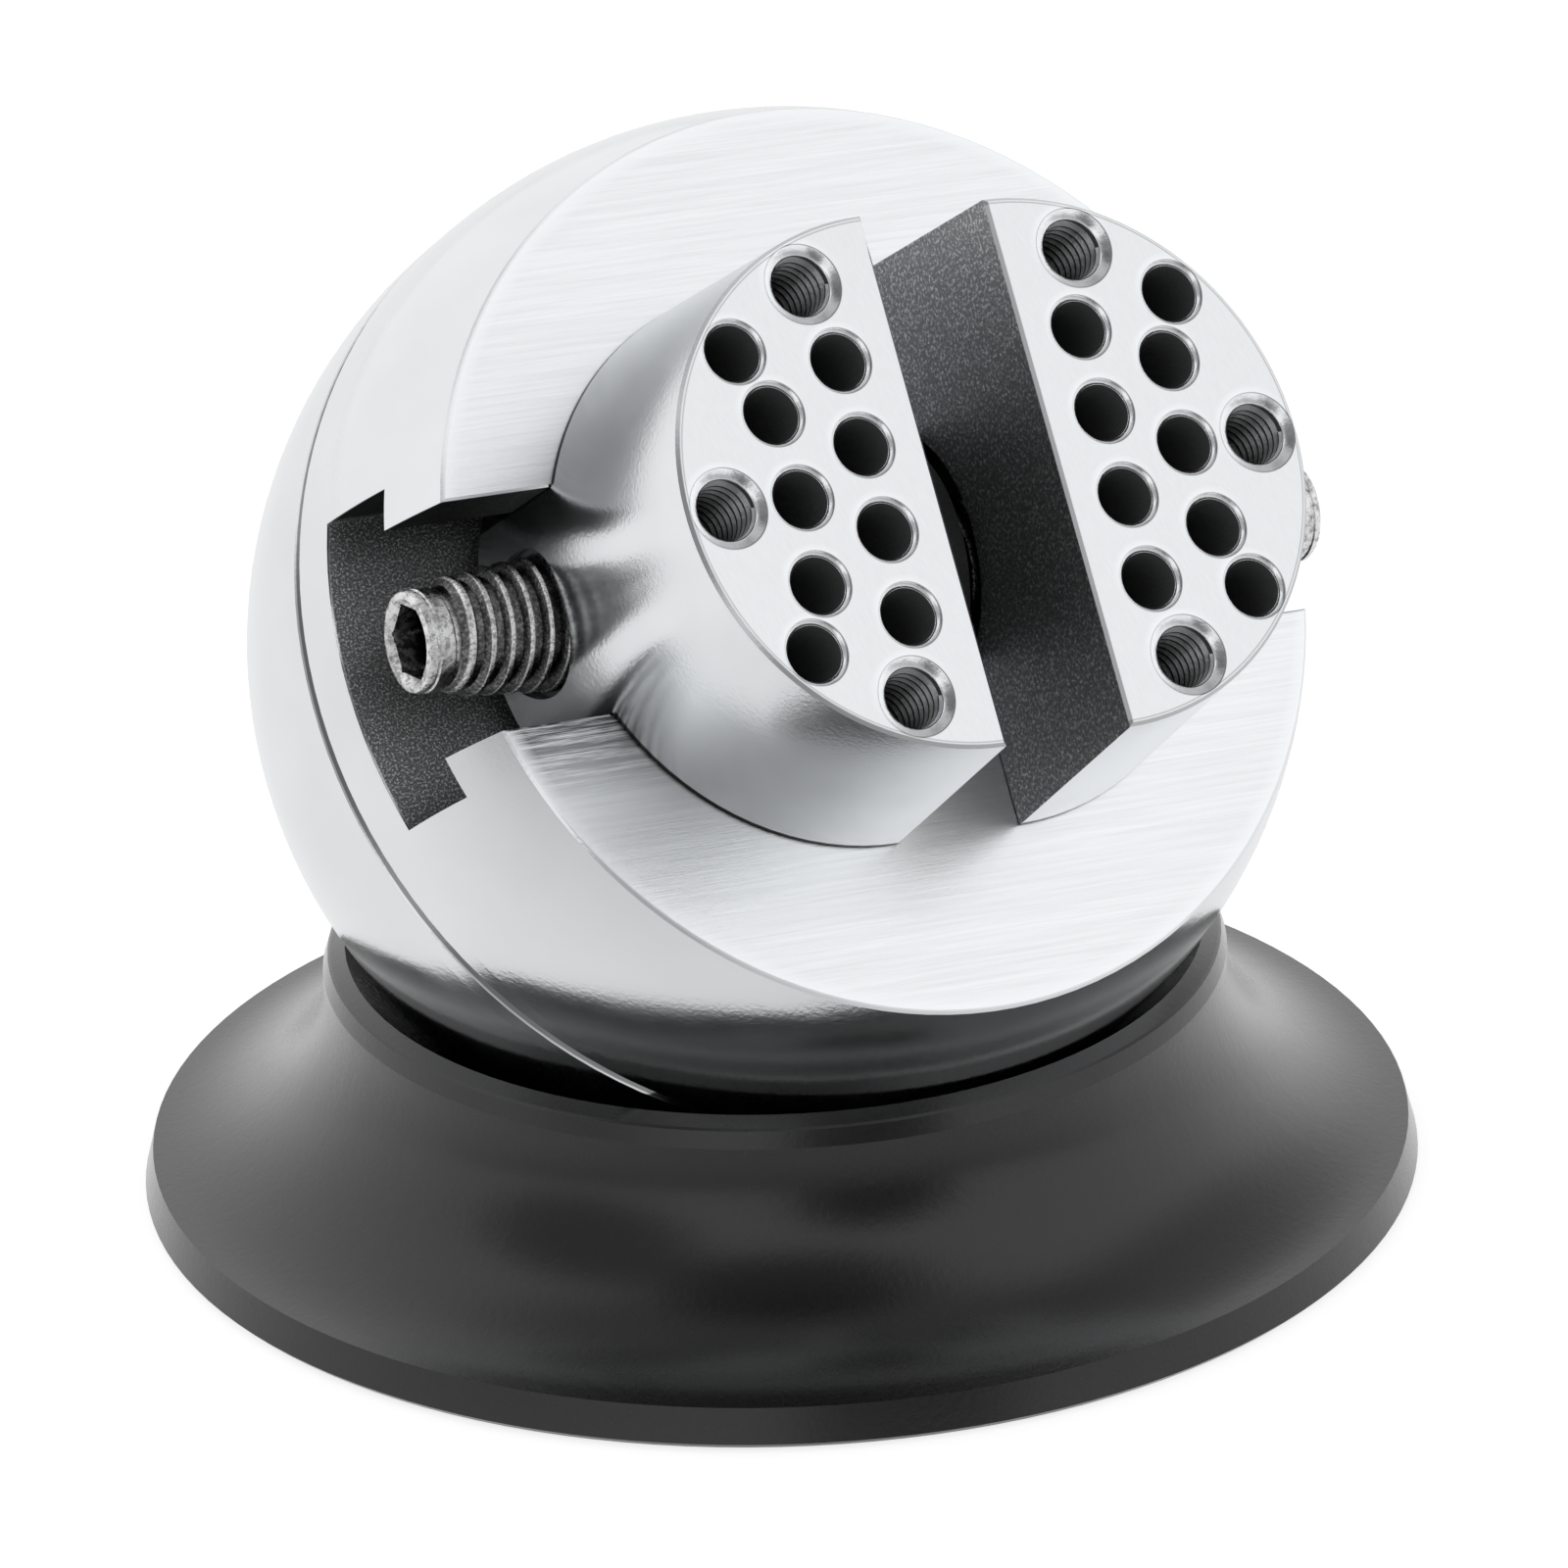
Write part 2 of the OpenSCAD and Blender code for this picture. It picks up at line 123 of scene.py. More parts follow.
class Bench:
    # the nodes of one material, or of the world
    def __init__(self, name, world=False):
        self.owner = (bpy.data.worlds if world else bpy.data.materials).new(name)
        self.owner.use_nodes = True
        self.tree = self.owner.node_tree
        wanted = "BACKGROUND" if world else "BSDF_PRINCIPLED"
        self.shader = next(n for n in self.tree.nodes if n.type == wanted)
        self.made = {}

    def node(self, kind, settings=None, sockets=None, out=0):
        new = self.tree.nodes.new(kind)
        for key, value in (settings or {}).items():
            setattr(new, key, value)
        for key, value in (sockets or {}).items():
            self.feed(new.inputs[key], value)
        return Wire(self, new.outputs[out])

    def feed(self, socket, value):
        if isinstance(value, Wire):
            self.tree.links.new(value.socket, socket)
        elif socket.type == "RGBA" and len(value) == 3:
            socket.default_value = tuple(value) + (1,)
        else:
            socket.default_value = value

    def maths(self, operation, first, second=None):
        sockets = {0: first} if second is None else {0: first, 1: second}
        return self.node("ShaderNodeMath", {"operation": operation}, sockets)

    def lower(self, first, second):
        return self.maths("MINIMUM", first, second)

    def higher(self, first, second):
        return self.maths("MAXIMUM", first, second)

    def length(self, *sides):
        total = sides[0] * sides[0]
        for side in sides[1:]:
            total = total + side * side
        return self.maths("SQRT", total)

    def between(self, factor, first, second):
        # plain number that goes from first to second
        return factor * (second - first) + first

    def dot(self, vector, direction):
        return self.node("ShaderNodeVectorMath", {"operation": "DOT_PRODUCT"}, {0: vector, 1: tuple(direction)}, out=1)

    def place(self):
        if "place" not in self.made:
            self.made["place"] = self.node("ShaderNodeTexCoord", out="Object")
        return self.made["place"]

    def along(self, axis):
        # distance in millimetres from the ball's centre along a direction
        step = self.node("ShaderNodeVectorMath", {"operation": "SUBTRACT"}, {0: self.place(), 1: tuple(ballCentre)})
        return self.dot(step, axis) * 1000

    def ballPlace(self):
        if "uvw" not in self.made:
            self.made["uvw"] = tuple(self.along(axis) for axis in (axisU, axisV, axisW))
        return self.made["uvw"]

    def vector(self, x, y, z):
        return self.node("ShaderNodeCombineXYZ", sockets={"X": x, "Y": y, "Z": z})

    def noise(self, vector, scale, detail=3.0, rough=0.5):
        return self.node("ShaderNodeTexNoise", sockets={"Vector": vector, "Scale": scale, "Detail": detail, "Roughness": rough})

    def blend(self, factor, first, second):
        # colour that goes from first to second
        return self.node("ShaderNodeMix", {"data_type": "RGBA"}, {"Factor": factor, 6: first, 7: second}, out=2)

    def scaled(self, vector, level):
        # a colour or a vector times a plain number
        return self.node("ShaderNodeVectorMath", {"operation": "SCALE"}, {0: vector, "Scale": level})

    def speckled(self, grain, level, dark, light):
        # blasted steel: a dark ground with light grains; the grain texture is real, their brightness is painted glints
        return self.blend(grain.rise(0.50, 0.66), self.scaled(grey(dark), level), self.scaled(grey(light), level))

    def bump(self, height, strength, distance):
        return self.node("ShaderNodeBump", sockets={"Height": height, "Strength": strength, "Distance": distance})

    def finish(self, **sockets):
        names = {"colour": "Base Color", "rough": "Roughness", "metal": "Metallic", "normal": "Normal",
                 "coat": "Coat Weight", "coatRough": "Coat Roughness", "coatIor": "Coat IOR", "specular": "Specular IOR Level"}
        for key, value in sockets.items():
            self.feed(self.shader.inputs[names[key]], value)
        return self.owner


def grey(value, warm=-0.02):
    return (value * (1 + warm), value, value * (1 - warm))


ballFinish = {"steel": 0.83, "seamBelow": 0.28, "seamHighlight": 0.97, "rough": (0.12, 0.18), "dimpleScale": 2.6, "cloudScale": 0.12}
# worn is the colour of a painted dark reflection beside the slot's left end
flatFinish = {"steel": 0.98, "worn": 0.14, "rim": 0.99, "rough": 0.25}
slotFinish = {"wall": 0.035, "floor": 0.36, "ground": 0.62, "glintGrains": 2.9, "grainScale": 5.2, "rough": 0.48}


def makeBallSteel(name, turned):
    bench = Bench(name)
    u, v, w = bench.ballPlace()
    place = bench.vector(u, v, w)
    dimples = bench.noise(place, ballFinish["dimpleScale"], 2.0, 0.6)
    cloud = bench.noise(place, ballFinish["cloudScale"], 3.0, 0.5)
    colour = bench.blend(cloud.rise(0.35, 0.7), grey(ballFinish["steel"] * 0.95), grey(ballFinish["steel"]))
    rough = bench.between(cloud.rise(0.3, 0.7), *ballFinish["rough"])
    # the joint between the halves: its lower edge is dark, and its upper edge has a painted highlight
    atSeam = abs(w - ball["seam"]).fall(ball["seamWidth"] - 0.06, ball["seamWidth"])
    colour = bench.blend(atSeam, colour, grey(ballFinish["seamHighlight" if turned else "seamBelow"]))
    height = dimples * 0.5
    if turned:
        # the flat is brushed along the slot
        streaks = bench.noise(bench.vector(u * 0.06, v * 3.0, w), 1.4, 4.0, 0.65)
        fine = bench.noise(bench.vector(u * 0.25, v * 9.0, w), 2.0, 2.0, 0.6)
        onFlat = w.rise(ball["flat"] - 0.12, ball["flat"] - 0.04)
        flatColour = bench.blend(streaks.rise(0.3, 0.7), grey(flatFinish["steel"] * 0.88), grey(flatFinish["steel"]))
        # and a painted dark reflection beside the slot's left end, streaked along the brushing
        fromMouth = -1 * v - slot["mouth"] / 2
        beside = fromMouth.rise(-0.3, 0.0) * fromMouth.fall(0.5, 6.0) * (-1 * u).rise(8, 20)
        flatColour = bench.blend(beside * (streaks * 0.6 + fine * 0.4).fall(0.47, 0.59), flatColour, grey(flatFinish["worn"]))
        # the flat's outer edge is painted near white, a painted highlight
        reach = bench.length(u, v, w - ball["band"])
        flatColour = bench.blend((reach * reach).rise(1360, 1440), flatColour, grey(flatFinish["rim"]))
        colour = bench.blend(onFlat, colour, flatColour)
        # the slot is blasted dark, and its walls are painted darker than its floor as painted shade
        inMouth = abs(v).fall(slot["mouth"] / 2 + 0.02, slot["mouth"] / 2 + 0.08) * w.fall(ball["flat"] - 0.26, ball["flat"] - 0.20)
        inUnder = abs(v).fall(slot["under"] / 2 + 0.02, slot["under"] / 2 + 0.08) * w.fall(slot["lip"] + 0.02, slot["lip"] + 0.08)
        belowSkin = reach.fall(ball["radius"] - 0.25, ball["radius"] - 0.08)
        inside = bench.higher(inMouth, inUnder) * w.rise(slot["floor"] - 0.3, slot["floor"] - 0.1) * belowSkin
        sparkle = bench.noise(place, slotFinish["grainScale"], 2.0, 0.8)
        level = bench.between(w.fall(slot["floor"] + 0.1, slot["floor"] + 1.2), slotFinish["wall"], slotFinish["floor"])
        colour = bench.blend(inside, colour, bench.speckled(sparkle, level, slotFinish["ground"], slotFinish["glintGrains"]))
        rough = bench.between(onFlat, rough, fine * 0.1 + flatFinish["rough"])
        rough = bench.between(inside, rough, sparkle * 0.1 + slotFinish["rough"])
        height = height * (1 - onFlat) + (streaks + fine) * onFlat + sparkle * inside * 4
    normal = bench.bump(height, 0.06, 0.0003)
    return bench.finish(colour=colour, rough=rough, metal=1.0, normal=normal)


jawFinish = {"side": 0.90, "foot": 0.72, "corner": 0.20, "footLine": 0.02, "edge": 0.55, "sideRough": 0.15, "dimpleScale": 2.8,
             "top": 0.91, "line": 0.20, "holeHighlight": 0.99, "topRough": 0.27,
             "grip": 0.32, "ground": 0.80, "glintGrains": 2.6, "grainScale": 3.4, "gripRough": 0.50,
             "hole": 0.19, "holeRough": 0.38}


def holeMarks(bench, u, v, fromFace):
    # each hole has a thin painted shade line round its mouth, darker on one side, and a painted highlight patch above
    # it
    line = highlightPatch = 0
    pinHoles = [(spot, jaws["pinBore"] + jaws["pinMouth"]) for spot in jaws["pins"]]
    tapHoles = [(spot, jaws["tapBore"] + jaws["tapMouth"]) for spot in jaws["taps"]]
    for (away, across), mouth in pinHoles + tapHoles:
        du, dv = fromFace - away, abs(v) - across
        far = bench.length(du, dv)
        aside = bench.maths("SIGN", u) * du / far
        above = bench.maths("SIGN", v) * dv / far
        fromMouth = far - mouth
        shaded = (aside * 0.75 - above * 0.2 + 0.5).rise(-0.5, 1.1)
        line = fromMouth.rise(-0.07, -0.02) * fromMouth.fall(0.02, 0.09) * shaded + line
        highlightPatch = fromMouth.fall(0.05, 0.60) * (above - aside * 0.35).rise(-0.1, 1.0) + highlightPatch
    return line, highlightPatch


def makeJawSteel(name):
    look = jawFinish
    bench = Bench(name)
    u, v, w = bench.ballPlace()
    place = bench.vector(u, v, w)
    fromFace = abs(u) - jaws["gap"] / 2
    outside = (jaws["top"] - w) * jaws["draft"] + jaws["radius"]
    fromEdge = outside - bench.length(fromFace, v)
    onTop = w.rise(jaws["top"] - 0.05, jaws["top"] - 0.02)
    onGrip = fromFace.fall(0.02, 0.08) * w.fall(jaws["top"] - 0.3, jaws["top"] - 0.2)
    inHole = w.fall(jaws["top"] - 0.40, jaws["top"] - 0.34) * fromEdge.rise(0.5, 0.6) * fromFace.rise(0.3, 0.4)
    scratchA = bench.noise(bench.vector(u * 3.2 + v * 0.9, v * 0.30 - u * 0.09, w), 2.2, 3.0, 0.7)
    scratchB = bench.noise(bench.vector(u * 5.0 + v * 1.4, v * 0.45 - u * 0.1, w), 2.0, 3.0, 0.7)
    cloud = bench.noise(place, 0.2, 3.0, 0.5)
    dimples = bench.noise(place, look["dimpleScale"], 2.0, 0.6)
    sparkle = bench.noise(place, look["grainScale"], 3.0, 0.8)
    # top
    line, highlightPatch = holeMarks(bench, u, v, fromFace)
    # a thin painted shade line just inside the top's outer edge
    rimLine = fromEdge.rise(0.30, 0.34) * fromEdge.fall(0.40, 0.46)
    top = bench.blend(scratchA.rise(0.35, 0.7), grey(look["top"] * 0.95), grey(look["top"]))
    # painted highlights above the holes, then painted shade lines round the holes
    top = bench.blend(bench.lower(highlightPatch, 1.0), top, grey(look["holeHighlight"]))
    top = bench.blend(bench.lower(line + rimLine * 0.45, 1.0), top, grey(look["line"]))
    # side, with painted shade on its broken upper edge and on its foot, and a painted shadow line where it meets the
    # flat
    side = bench.blend(cloud.rise(0.35, 0.7), grey(look["side"] * 0.94), grey(look["side"]))
    broken = w.rise(jaws["top"] - 0.32, jaws["top"] - 0.27) * (1 - onTop) * fromEdge.fall(0.40, 0.50)
    side = bench.blend(broken, side, grey(look["edge"]))
    side = bench.blend(w.fall(jaws["bottom"] - 3.0, jaws["bottom"] - 1.0), side, grey(look["side"] * look["foot"]))
    # a painted dark reflection of the slot on the side beside its corner
    corner = w.fall(jaws["bottom"], jaws["bottom"] + 9.0) * (-1 * v).rise(6.0, 9.0) * (-1 * v).fall(10.0, 17.0)
    side = bench.blend(corner, side, grey(look["corner"]))
    # the black line at the foot is a painted shadow of the gap
    besideSlot = abs(v).rise(slot["mouth"] / 2 - 0.1, slot["mouth"] / 2 + 0.1)
    side = bench.blend(w.fall(jaws["bottom"] + 0.30, jaws["bottom"] + 0.36) * besideSlot, side, grey(look["footLine"]))
    # the gripping face is blasted, and painted light makes it lighter towards its upper end
    level = bench.between(v.rise(4.0, 19.0), look["grip"], look["grip"] * 1.6)
    colour = bench.blend(onTop, side, top)
    colour = bench.blend(onGrip, colour, bench.speckled(sparkle, level, look["ground"], look["glintGrains"]))
    # the steel inside the holes is painted dark, painted shade
    colour = bench.blend(inHole, colour, grey(look["hole"]))
    rough = bench.between(onTop, cloud * 0.08 + look["sideRough"], scratchB * 0.1 + look["topRough"])
    rough = bench.between(onGrip, rough, look["gripRough"])
    rough = bench.between(inHole, rough, look["holeRough"])
    height = dimples * 0.5 * (1 - onTop) + (scratchA + scratchB) * 0.35 * onTop + sparkle * onGrip * 4
    normal = bench.bump(height, 0.07, 0.0003)
    return bench.finish(colour=colour, rough=rough, metal=1 - inHole * 0.9, normal=normal)


screwFinish = {"crest": (0.40, 0.96), "root": (0.09, 0.34), "end": (0.36, 0.88), "facet": (0.22, 0.80), "bottom": 0.02,
               "wearScale": 1.6, "speckScale": 3.6, "crestFrom": 4.80, "endFrom": 33.9, "socketFrom": 34.2, "socketTo": 35.6,
               "socketRadius": 2.75}


def makeScrewSteel(name):
    look = screwFinish
    bench = Bench(name)
    u, v, w = bench.ballPlace()
    place = bench.vector(u, v, w)
    reach = bench.length(v, w - slot["screwHeight"])
    worn = bench.noise(place, look["wearScale"], 4.0, 0.7)
    speck = bench.noise(place, look["speckScale"], 4.0, 0.75)
    dark, light = ({key: grey(look[key][i], 0.0) for key in ("crest", "root", "end", "facet")} for i in (0, 1))
    # the thread gets lower towards the end of the screw
    over = bench.higher(abs(u) - 26.3, 0.0)
    last = bench.higher(abs(u) - 32.6, 0.0)
    onCrest = (reach - (look["crestFrom"] - over * 0.080 - last * 0.33)).rise(0.0, 0.07)
    crest = bench.blend(speck.rise(0.40, 0.54), dark["crest"], light["crest"])
    # the thread's root is painted darker than its crest, painted shade
    root = bench.blend(speck.rise(0.46, 0.66), dark["root"], light["root"])
    end = bench.blend(worn.rise(0.38, 0.54), dark["end"], light["end"])
    facet = bench.blend(worn.rise(0.42, 0.56), dark["facet"], light["facet"])
    onEnd = abs(u).rise(look["endFrom"], look["endFrom"] + 0.3)
    colour = bench.blend(onEnd, bench.blend(onCrest, root, crest), end)
    # deep in the hex socket the colour goes near black, painted shade
    deep = abs(u).fall(look["socketFrom"], look["socketTo"])
    inSocket = reach.fall(look["socketRadius"], look["socketRadius"] + 0.1)
    colour = bench.blend(inSocket, colour, bench.blend(deep, facet, grey(look["bottom"], 0.0)))
    normal = bench.bump(worn + speck * 0.5, 0.28, 0.0004)
    return bench.finish(colour=colour, rough=worn * 0.22 + 0.16, metal=1.0, normal=normal)


rubberFinish = {"dark": (0.0034, 0.0036, 0.0042), "light": (0.0050, 0.0052, 0.0060), "rough": 0.21, "specular": 0.42,
                "grainScale": 1.6, "cloudScale": 0.05, "coat": 1.0, "coatRough": 0.20, "coatIor": 1.3}


def makeBaseRubber(name):
    look = rubberFinish
    bench = Bench(name)
    place = bench.scaled(bench.place(), 1000.0)
    grain = bench.noise(place, look["grainScale"], 3.0, 0.6)
    cloud = bench.noise(place, look["cloudScale"], 3.0, 0.5)
    colour = bench.blend(cloud.rise(0.35, 0.7), look["dark"], look["light"])
    rough = grain * 0.08 + cloud * 0.06 + look["rough"]
    normal = bench.bump(grain, 0.12, 0.0002)
    return bench.finish(colour=colour, rough=rough, metal=0.0, normal=normal, specular=look["specular"],
                        coat=look["coat"], coatRough=look["coatRough"], coatIor=look["coatIor"])


def makePlainMetal(name, colour, rough, scale=1.5, worst=0.75):
    # worst is the share of the colour that is left where the metal is most worn
    bench = Bench(name)
    worn = bench.noise(bench.vector(*bench.ballPlace()), scale, 4.0, 0.6)
    tint = bench.blend(worn.rise(0.3, 0.7), tuple(worst * c for c in colour), colour)
    normal = bench.bump(worn, 0.12, 0.0003)
    return bench.finish(colour=tint, rough=worn * 0.12 + (rough - 0.05), metal=1.0, normal=normal)


threadFinish = {"mouth": 0.72, "upper": 0.34, "deep": 0.05, "rough": 0.22}


def makeThreadSteel(name):
    # painted light and painted shade: bright at the mouth of a tapped hole, dark further in
    bench = Bench(name)
    u, v, w = bench.ballPlace()
    worn = bench.noise(bench.vector(u, v, w), 3.0, 3.0, 0.6)
    top = jaws["top"]
    colour = bench.blend(w.fall(top - 1.3, top - 0.75), grey(threadFinish["mouth"]), grey(threadFinish["upper"]))
    colour = bench.blend(w.fall(top - 8, top - 1.2), colour, grey(threadFinish["deep"]))
    normal = bench.bump(worn, 0.2, 0.0002)
    return bench.finish(colour=colour, rough=worn * 0.2 + threadFinish["rough"], metal=1.0, normal=normal)


materials = {
    "lowerSteel": makeBallSteel("lowerSteel", False),
    "upperSteel": makeBallSteel("upperSteel", True),
    "jawSteel": makeJawSteel("jawSteel"),
    "screwSteel": makeScrewSteel("screwSteel"),
    "baseRubber": makeBaseRubber("baseRubber"),
    "yokeSteel": makePlainMetal("yokeSteel", grey(0.10), 0.50, 3.0),
    "blackOxide": makePlainMetal("blackOxide", grey(0.045), 0.42),
    "bearingSteel": makePlainMetal("bearingSteel", grey(0.70), 0.15),
    "cageBrass": makePlainMetal("cageBrass", (0.62, 0.42, 0.16), 0.35),
    "threadSteel": makeThreadSteel("threadSteel"),
    "rimSteel": makePlainMetal("rimSteel", grey(0.98), 0.20, 1.2, 0.88),
}

nodeFinish = {
    "rubber_base": "baseRubber", "lower_ball": "lowerSteel", "upper_ball": "upperSteel", "jaw_left": "jawSteel",
    "jaw_right": "jawSteel", "lead_screw": "screwSteel", "screw_yoke": "yokeSteel", "yoke_cap": "yokeSteel",
    "yoke_screws": "blackOxide", "pivot_bolt": "blackOxide", "brake_drum": "yokeSteel", "drum_pins": "bearingSteel",
    "thrust_washer_upper": "bearingSteel", "thrust_washer_lower": "bearingSteel", "thrust_cage": "cageBrass",
    "thrust_balls": "bearingSteel", "bearing_inner_ring": "bearingSteel", "bearing_outer_ring": "bearingSteel",
    "bearing_cage": "cageBrass", "bearing_balls": "bearingSteel", "disc_springs": "bearingSteel",
    "bolt_washer": "bearingSteel", "bottom_cap": "lowerSteel", "brake_plug": "cageBrass", "brake_screw": "blackOxide",
}
for nodeName, finishName in nodeFinish.items():
    mesh = nodes[nodeName].data
    mesh.materials.clear()
    mesh.materials.append(materials[finishName])
print("materials made")


def clearSelection():
    if bpy.context.mode != "OBJECT":
        bpy.ops.object.mode_set(mode="OBJECT")
    bpy.ops.object.select_all(action="DESELECT")


def choose(piece):
    # selects one object and makes it the active one
    clearSelection()
    piece.select_set(True)
    bpy.context.view_layer.objects.active = piece


def sectionRing(name, section):
    # a closed section in the XZ plane, from (x, z) points in millimetres
    clearSelection()
    bpy.ops.mesh.primitive_circle_add(vertices=len(section), radius=millimetre, fill_type="NOTHING")
    piece = bpy.context.active_object
    piece.name = name
    for vertex, (x, z) in zip(piece.data.vertices, section):
        vertex.co = Vector((x, 0, z)) * millimetre
    return piece


def closeAndFace(piece, merge=0.00001):
    # merges doubles, closes open ends and turns every face outwards
    choose(piece)
    bpy.ops.object.mode_set(mode="EDIT")
    bpy.ops.mesh.select_all(action="SELECT")
    bpy.ops.mesh.remove_doubles(threshold=merge)
    bpy.ops.mesh.fill_holes(sides=0)
    bpy.ops.mesh.select_all(action="SELECT")
    bpy.ops.mesh.normals_make_consistent(inside=False)
    bpy.ops.object.mode_set(mode="OBJECT")


def turned(name, section, steps=96):
    # turns a section about Z
    piece = sectionRing(name, section)
    bpy.ops.object.mode_set(mode="EDIT")
    bpy.ops.mesh.select_all(action="SELECT")
    bpy.ops.mesh.spin(steps=steps, angle=math.tau, center=(0, 0, 0), axis=(0, 0, 1))
    bpy.ops.object.mode_set(mode="OBJECT")
    closeAndFace(piece)
    return piece


def wound(name, section, pitch, turns, steps=64):
    # winds a section round Z, upwards
    piece = sectionRing(name, section)
    thread = piece.modifiers.new("thread", "SCREW")
    thread.axis, thread.angle, thread.screw_offset = "Z", math.tau, pitch * millimetre
    thread.iterations, thread.steps, thread.render_steps = turns, steps, steps
    bpy.ops.object.modifier_apply(modifier="thread")
    closeAndFace(piece, 0.000001)
    return piece


def placed(piece, matrix, material, angle=30):
    # bakes the place into the mesh and gives the finish
    choose(piece)
    piece.matrix_world = matrix
    bpy.ops.object.transform_apply(location=True, rotation=True, scale=True)
    if matrix.determinant() < 0:
        bpy.ops.object.mode_set(mode="EDIT")
        bpy.ops.mesh.select_all(action="SELECT")
        bpy.ops.mesh.normals_make_consistent(inside=False)
        bpy.ops.object.mode_set(mode="OBJECT")
    piece.data.materials.clear()
    piece.data.materials.append(material)
    bpy.ops.object.shade_smooth_by_angle(angle=math.radians(angle))
    return piece


def joined(name, pieces):
    choose(pieces[0])
    for piece in pieces:
        piece.select_set(True)
    bpy.ops.object.join()
    pieces[0].name = name
    return pieces[0]


def shrinkRidge(piece, base, crest, limit):
    # lowers a thread's ridge to limit(z), in millimetres, and keeps its shape
    for vertex in piece.data.vertices:
        reach = math.hypot(vertex.co.x, vertex.co.y) / millimetre
        share = max(0.02, (limit(vertex.co.z / millimetre) - base) / (crest - base))
        change = (base + (reach - base) * share) / reach
        vertex.co.x *= change
        vertex.co.y *= change


# left and right are how far each arm reaches from the middle
screw = {"left": 36.5, "right": 37.7, "neck": 3.5, "neckHalf": 4.5, "crest": 4.95, "root": 4.10, "ridgeFoot": 0.50,
         "pitch": 1.5, "crestWidth": 0.26, "rootWidth": 0.52, "endRadius": 3.75, "endLength": 2.3, "hex": 5.0,
         "hexDepth": 5.0, "hexRound": 0.12, "runOut": 10.2, "runOutFall": 0.086, "lastTurns": 3.8, "lastFall": 0.35}


def hexSocket(piece, top, width, depth):
    # cuts a broached hexagon into the end at height top
    clearSelection()
    bpy.ops.mesh.primitive_cylinder_add(vertices=6, radius=width / math.sqrt(3) * millimetre, depth=2 * depth * millimetre,
                                        location=(0, 0, top * millimetre))
    cutter = bpy.context.active_object
    bpy.ops.object.mode_set(mode="EDIT")
    bpy.ops.mesh.select_all(action="SELECT")
    bpy.ops.mesh.bevel(offset=screw["hexRound"] * millimetre, segments=2, affect="EDGES")
    bpy.ops.object.mode_set(mode="OBJECT")
    choose(piece)
    cut = piece.modifiers.new("socket", "BOOLEAN")
    cut.operation, cut.object, cut.solver = "DIFFERENCE", cutter, "EXACT"
    bpy.ops.object.modifier_apply(modifier="socket")
    bpy.data.objects.remove(cutter)


def screwCore(name, reach):
    # neck, root of the thread, undercut, and the plain end with its groove and rounded rim
    end = reach - screw["endLength"]
    root, tip, neck, neckEnd = screw["root"], screw["endRadius"], screw["neck"], screw["neckHalf"]
    section = [(0.0, -0.1), (neck, -0.1), (neck, neckEnd), (root, neckEnd + 0.3), (root, reach - 8.0),
               (root - 0.28, end - 1.1), (tip - 0.22, end - 0.30), (tip - 0.22, end + 0.06),
               (tip - 0.02, end + 0.28), (tip, end + 0.5), (tip, reach - 0.95), (tip - 0.12, reach - 0.85),
               (tip - 0.12, reach - 0.72), (tip, reach - 0.62), (tip - 0.03, reach - 0.30), (tip - 0.14, reach - 0.11),
               (tip - 0.34, reach - 0.02), (tip - 0.5, reach), (tip - 0.62, reach), (tip - 0.98, reach - 0.42),
               (0.0, reach - 0.42)]
    core = turned(name, section)
    hexSocket(core, reach, screw["hex"], screw["hexDepth"])
    return core


def screwThread(name, reach):
    root, crest, pitch = screw["root"], screw["crest"], screw["pitch"]
    foot = root - screw["ridgeFoot"]
    half = screw["crestWidth"] / 2
    wide = (pitch - screw["rootWidth"]) / 2
    finish = reach - screw["endLength"] - 0.35
    turns = int((finish - screw["neckHalf"] - 0.8) / pitch)
    start = finish - turns * pitch
    ridge = [(foot, -wide - 0.20), (root, -wide), (crest - 0.08, -half - 0.05), (crest, -half + 0.05),
             (crest, half - 0.05), (crest - 0.08, half + 0.05), (root, wide), (foot, wide + 0.20)]
    thread = wound(name, [(x, z + start) for x, z in ridge], pitch, turns)

    def limit(z):
        fade = screw["runOutFall"] * max(0.0, z - reach + screw["runOut"])
        return crest - fade - screw["lastFall"] * max(0.0, z - reach + screw["lastTurns"])

    shrinkRidge(thread, foot, crest, limit)
    return thread


def addScrew():
    along = Matrix.Translation(Vector((0, 0, slot["screwHeight"])) * millimetre) @ Matrix.Rotation(math.radians(90), 4, "Y")
    parts = []
    for side, reach in ((1, screw["right"]), (-1, screw["left"])):
        mirror = Matrix.Scale(side, 4, (1, 0, 0))
        for part in (screwCore("armCore", reach), screwThread("armThread", reach)):
            parts.append(placed(part, turretFrame @ mirror @ along, materials["screwSteel"]))
    piece = joined("threadedScrew", parts)
    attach(piece, "jaw_drive")
    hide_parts("lead_screw")


def jawSpots(side, spots):
    # the place of every hole of one jaw, at the jaw's top
    for away, across in spots:
        for other in (across, -across) if across else (across,):
            step = Vector((side * (away + jaws["gap"] / 2), other, jaws["top"]))
            yield turretFrame @ Matrix.Translation(step * millimetre)


tapped = {"pitch": 0.8, "turns": 11, "crest": 2.12, "wall": 2.58, "start": 0.88}


